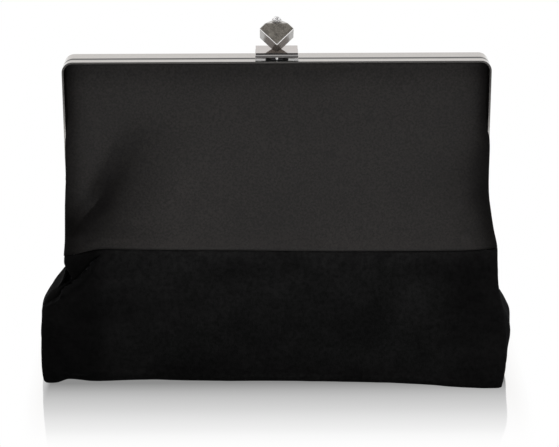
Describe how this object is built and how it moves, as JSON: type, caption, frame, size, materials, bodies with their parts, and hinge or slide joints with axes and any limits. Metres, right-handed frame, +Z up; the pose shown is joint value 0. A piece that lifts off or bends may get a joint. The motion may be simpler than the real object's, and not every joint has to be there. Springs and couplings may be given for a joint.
{
  "type": "clutch purse",
  "caption": "Soft frame clutch bag: hinged metal frame halves, lever clasp with a cube-shaped knob and a clear stone, smooth upper and suede lower panels, lined pouch.",
  "frame": {"origin": "centre of the base's underside", "axes": "+X to the bag's right seen from the front, -Y out of the front, +Z up"},
  "size_m": [0.2726, 0.0568, 0.2091],
  "materials": {
    "polished_metal": "mirror polished, slightly warm",
    "gunmetal": "satin dark nickel",
    "spring_steel": "plain",
    "smooth_leather": "soft satin, very fine grain",
    "suede": "napped suede",
    "lining_cloth": "satin twill",
    "board": "plain bag board",
    "cord": "twisted paper",
    "crystal": "cut and polished"
  },
  "bodies": {
    "bag_body": {"base_panel": "suede", "base_stiffener": "board", "front_suede_panel": "suede", "rear_suede_panel": "suede", "front_waist_panel": "smooth_leather", "rear_waist_panel": "smooth_leather", "left_gusset": "suede", "right_gusset": "suede", "lining_pouch": "lining_cloth", "slip_pocket": "lining_cloth", "hinge_rivet_left": "polished_metal", "hinge_rivet_right": "polished_metal", "hinge_washer_left": "spring_steel", "hinge_washer_right": "spring_steel"},
    "front_half": {"front_frame": "polished_metal", "front_upper_panel": "smooth_leather", "front_upper_stiffener": "board", "front_upper_lining": "lining_cloth", "front_frame_cord": "cord", "catch_housing": "polished_metal", "catch_spring": "spring_steel", "catch_spring_rivet": "polished_metal", "catch_rivet_left": "polished_metal", "catch_rivet_right": "polished_metal"},
    "rear_half": {"rear_frame": "polished_metal", "rear_upper_panel": "smooth_leather", "rear_upper_stiffener": "board", "rear_upper_lining": "lining_cloth", "rear_frame_cord": "cord", "clasp_base": "polished_metal", "clasp_rivet_left": "polished_metal", "clasp_rivet_right": "polished_metal", "clasp_pin": "spring_steel"},
    "clasp_lever": {"clasp_plate": "polished_metal", "clasp_knob": "gunmetal", "knob_screw": "spring_steel", "crystal_bezel": "polished_metal", "crystal": "crystal"}
  },
  "joints": [
    {"name": "front_frame_open", "type": "hinge", "parent": "bag_body", "child": "front_half", "pos_m": [0, -0.002, 0.116], "axis": [1, 0, 0], "range_deg": [0, 32], "deforming": ["catch_spring"]},
    {"name": "rear_frame_open", "type": "hinge", "parent": "bag_body", "child": "rear_half", "pos_m": [0, -0.002, 0.116], "axis": [1, 0, 0], "range_deg": [-32, 0]},
    {"name": "clasp_lift", "type": "hinge", "parent": "rear_half", "child": "clasp_lever", "pos_m": [0, 0.007, 0.188], "axis": [-1, 0, 0], "range_deg": [0, 50]}
  ],
  "couplings": [
    {"joint": "rear_frame_open", "follows": "front_frame_open", "ratio": -1}
  ]
}
